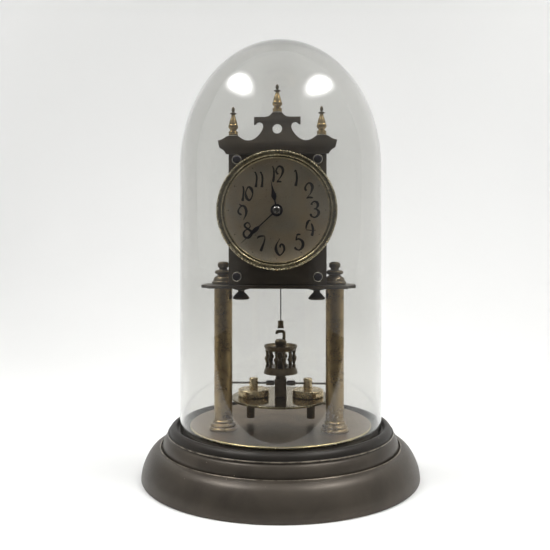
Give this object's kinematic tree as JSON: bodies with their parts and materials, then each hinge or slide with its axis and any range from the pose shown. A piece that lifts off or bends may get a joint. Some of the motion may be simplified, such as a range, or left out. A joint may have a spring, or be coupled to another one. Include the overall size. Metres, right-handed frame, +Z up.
{
  "type": "anniversary clock",
  "caption": "Torsion-pendulum mantel clock on a stepped round base under a lift-off glass dome, with a geared movement, motion work and a regulated disc pendulum.",
  "frame": {"origin": "underside of the base, on the common axis of base, dome and pendulum", "axes": "+Z up, the dial faces -Y, +X to the right seen from the front"},
  "size_m": [0.2, 0.2, 0.3138],
  "materials": {
    "patinated_bronze": "dark brown patina, satin",
    "polished_brass_disc": "glossy, tarnished",
    "dark_bronze": "dark brown patina, satin",
    "aged_brass": "dull aged brass",
    "bright_brass": "polished",
    "wheel_brass": "grained",
    "steel": "ground",
    "blued_steel": "blued black",
    "dial_metal": "aged silvered metal with numerals",
    "clear_glass": "clear, glossy"
  },
  "bodies": {
    "frame": {"base_shell": "patinated_bronze", "base_plate": "polished_brass_disc", "pillar_left": "aged_brass", "pillar_right": "aged_brass", "pillar_bolt_left": "steel", "pillar_bolt_right": "steel", "pillar_cap_left": "aged_brass", "pillar_cap_right": "aged_brass", "shelf": "dark_bronze", "thumb_screw_left": "dark_bronze", "thumb_screw_right": "dark_bronze", "front_plate": "dark_bronze", "back_plate": "dark_bronze", "plate_post_lower_left": "aged_brass", "plate_post_lower_right": "aged_brass", "plate_post_upper_left": "aged_brass", "plate_post_upper_right": "aged_brass", "post_nut_lower_left": "dark_bronze", "post_nut_lower_right": "dark_bronze", "post_nut_upper_left": "dark_bronze", "post_nut_upper_right": "dark_bronze", "pediment": "dark_bronze", "finial_centre": "bright_brass", "finial_left": "bright_brass", "finial_right": "bright_brass", "dial": "dial_metal", "bezel": "aged_brass", "minute_stud": "steel", "click_screw": "steel", "click_spring": "steel", "suspension_bracket": "aged_brass", "top_block": "aged_brass", "suspension_spring": "steel"},
    "dome": {"glass_dome": "clear_glass"},
    "minute_hand_body": {"minute_hand": "blued_steel", "hand_nut": "bright_brass", "cannon_pinion": "steel", "centre_wheel": "wheel_brass"},
    "hour_hand_body": {"hour_hand": "blued_steel", "hour_wheel": "wheel_brass"},
    "minute_wheel_body": {"minute_wheel": "wheel_brass"},
    "barrel_body": {"barrel": "wheel_brass", "barrel_cover": "wheel_brass", "mainspring": "steel"},
    "winding_body": {"winding_arbor": "steel", "ratchet_wheel": "steel"},
    "click_body": {"click": "steel"},
    "second_body": {"second_wheel": "wheel_brass"},
    "third_body": {"third_wheel": "wheel_brass"},
    "escape_body": {"escape_wheel": "wheel_brass"},
    "anchor_body": {"anchor": "steel"},
    "fork_body": {"fork": "aged_brass"},
    "pendulum": {"bottom_block": "aged_brass", "pendulum_stem": "aged_brass", "gallery": "aged_brass", "pendulum_disc": "aged_brass"},
    "weight_left_body": {"weight_left": "aged_brass"},
    "weight_right_body": {"weight_right": "aged_brass"},
    "regulator_body": {"regulator_rod": "steel"}
  },
  "joints": [
    {"name": "minute_hand_turn", "type": "hinge", "parent": "frame", "child": "minute_hand_body", "pos_m": [0, -0.024, 0.189], "axis": [0, 1, 0], "continuous": true},
    {"name": "hour_hand_turn", "type": "hinge", "parent": "frame", "child": "hour_hand_body", "pos_m": [0, -0.045, 0.189], "axis": [0, 1, 0], "continuous": true},
    {"name": "minute_wheel_turn", "type": "hinge", "parent": "frame", "child": "minute_wheel_body", "pos_m": [0.00742, -0.042, 0.18158], "axis": [0, 1, 0], "continuous": true},
    {"name": "third_wheel_turn", "type": "hinge", "parent": "frame", "child": "third_body", "pos_m": [-0.01451, -0.024, 0.1886], "axis": [0, 1, 0], "continuous": true},
    {"name": "second_wheel_turn", "type": "hinge", "parent": "frame", "child": "second_body", "pos_m": [-0.00834, -0.024, 0.1725], "axis": [0, 1, 0], "continuous": true},
    {"name": "barrel_turn", "type": "hinge", "parent": "frame", "child": "barrel_body", "pos_m": [0.009, -0.024, 0.1625], "axis": [0, 1, 0], "continuous": true},
    {"name": "escape_wheel_turn", "type": "hinge", "parent": "frame", "child": "escape_body", "pos_m": [0, -0.024, 0.20264], "axis": [0, 1, 0], "continuous": true},
    {"name": "winding_turn", "type": "hinge", "parent": "frame", "child": "winding_body", "pos_m": [0.009, -0.006, 0.1625], "axis": [0, 1, 0], "continuous": true},
    {"name": "click_lift", "type": "hinge", "parent": "frame", "child": "click_body", "pos_m": [0.0196, -0.0051, 0.1697], "axis": [0, 1, 0], "range_deg": [0, 8], "stiffness_Nm_per_rad": 0.0002, "springref_deg": -11.46},
    {"name": "dome_lift", "type": "slide", "parent": "frame", "child": "dome", "axis": [0, 0, 1], "range_m": [0, 0.26]},
    {"name": "pendulum_twist", "type": "hinge", "parent": "frame", "child": "pendulum", "pos_m": [0, 0, 0.107], "axis": [0, 0, 1], "range_deg": [-180, 180], "stiffness_Nm_per_rad": 0.00005},
    {"name": "fork_twist", "type": "hinge", "parent": "frame", "child": "fork_body", "pos_m": [0, 0, 0.2234], "axis": [0, 0, 1], "range_deg": [-5.2, 5.2]},
    {"name": "anchor_rock", "type": "hinge", "parent": "frame", "child": "anchor_body", "pos_m": [0, -0.024, 0.2152], "axis": [0, 1, 0], "range_deg": [-3, 3]},
    {"name": "regulator_turn", "type": "hinge", "parent": "pendulum", "child": "regulator_body", "pos_m": [0, 0, 0.0649], "axis": [1, 0, 0], "range_deg": [-1441, 1441]},
    {"name": "weight_left_slide", "type": "slide", "parent": "pendulum", "child": "weight_left_body", "axis": [1, 0, 0], "range_m": [-0.00201, 0.00201]},
    {"name": "weight_right_slide", "type": "slide", "parent": "pendulum", "child": "weight_right_body", "axis": [1, 0, 0], "range_m": [-0.002, 0.002]}
  ],
  "couplings": [
    {"joint": "hour_hand_turn", "follows": "minute_hand_turn", "ratio": 0.083333},
    {"joint": "minute_wheel_turn", "follows": "minute_hand_turn", "ratio": -0.33333},
    {"joint": "third_wheel_turn", "follows": "minute_hand_turn", "ratio": -0.1},
    {"joint": "second_wheel_turn", "follows": "minute_hand_turn", "ratio": 0.0090909},
    {"joint": "barrel_turn", "follows": "minute_hand_turn", "ratio": -0.00075758},
    {"joint": "escape_wheel_turn", "follows": "minute_hand_turn", "ratio": -10},
    {"joint": "fork_twist", "follows": "pendulum_twist", "ratio": 0.028},
    {"joint": "anchor_rock", "follows": "pendulum_twist", "ratio": 0.0157},
    {"joint": "regulator_turn", "follows": "weight_right_slide", "rad_per_m": -12566},
    {"joint": "weight_left_slide", "follows": "weight_right_slide", "ratio": -1}
  ]
}
